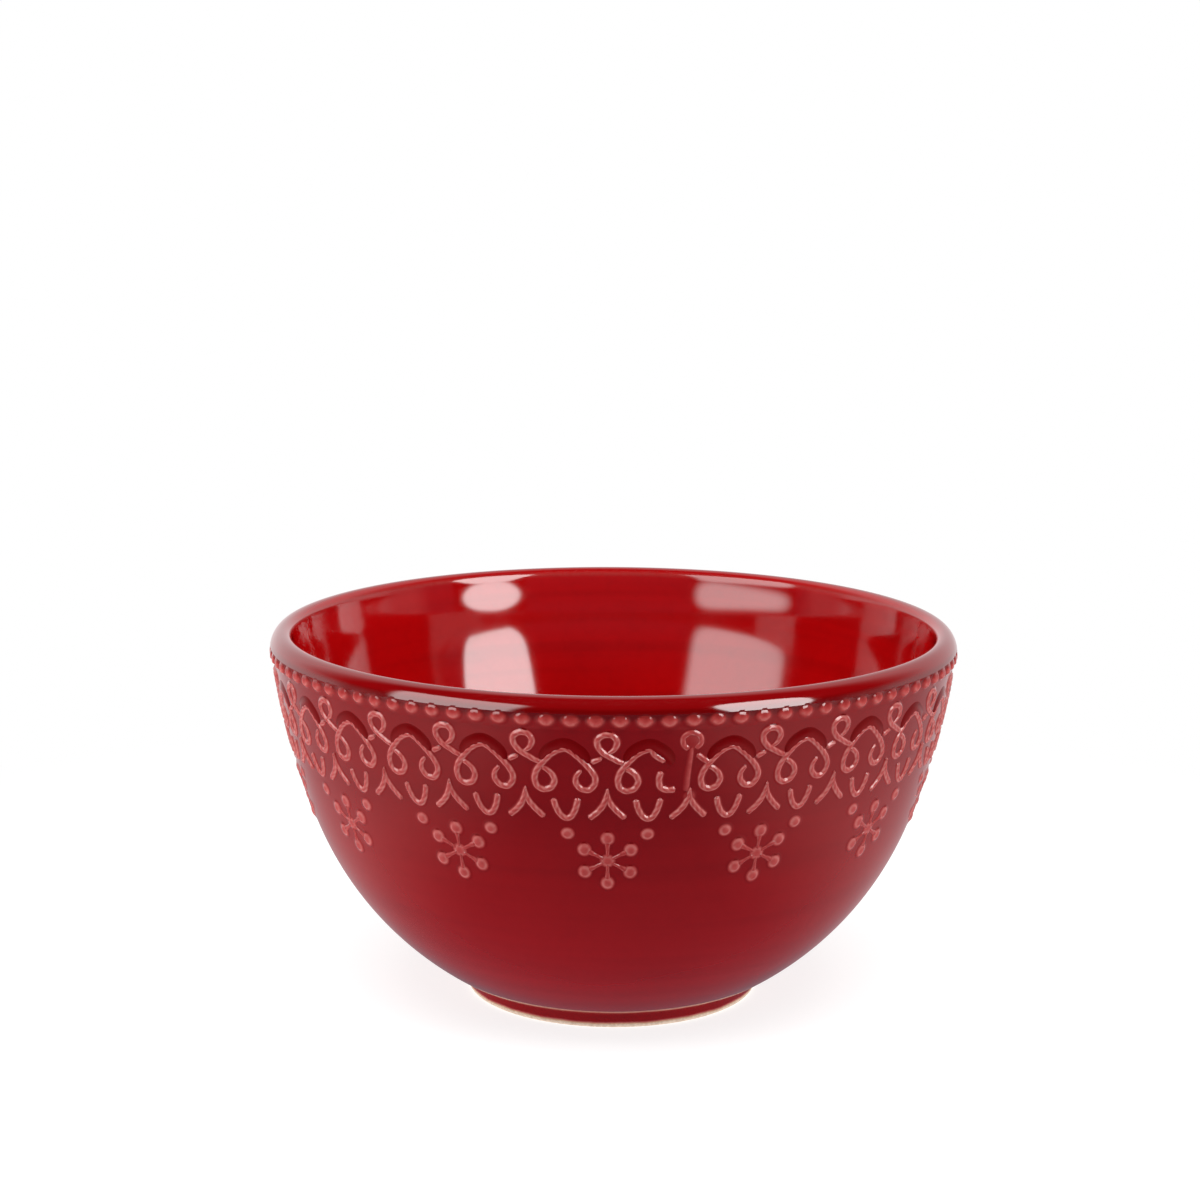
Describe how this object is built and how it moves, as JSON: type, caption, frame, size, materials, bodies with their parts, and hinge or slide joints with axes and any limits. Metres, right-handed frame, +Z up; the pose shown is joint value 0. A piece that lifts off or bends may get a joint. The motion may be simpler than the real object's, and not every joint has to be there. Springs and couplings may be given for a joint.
{
  "type": "embossed bowl",
  "caption": "Footed round ceramic bowl with a rounded lip, a bead row under it and a raised lace and snowflake border, for food or display.",
  "frame": {"origin": "centre of the circle that the bowl stands on, on the table", "axes": "+Z up along the bowl's axis; -Y towards a snowflake, which faces the viewer"},
  "size_m": [0.15, 0.1498, 0.0815],
  "materials": {
    "red_glaze": "deep crimson glaze, glossy, over pale clay",
    "thin_glaze": "the same glaze where it runs thin over raised edges, glossy, pale red",
    "bare_clay": "unglazed cream clay on the standing edge"
  },
  "bodies": {
    "root": {"foot_ring": "bare_clay", "bowl_body": "red_glaze", "rim_lip": "red_glaze", "bead_row": "thin_glaze", "top_loops": "thin_glaze", "lace_arches": "thin_glaze", "v_sprigs": "thin_glaze", "forked_sprigs": "thin_glaze", "dot_row": "thin_glaze", "snowflakes": "thin_glaze", "mould_seams": "thin_glaze"}
  },
  "joints": []
}
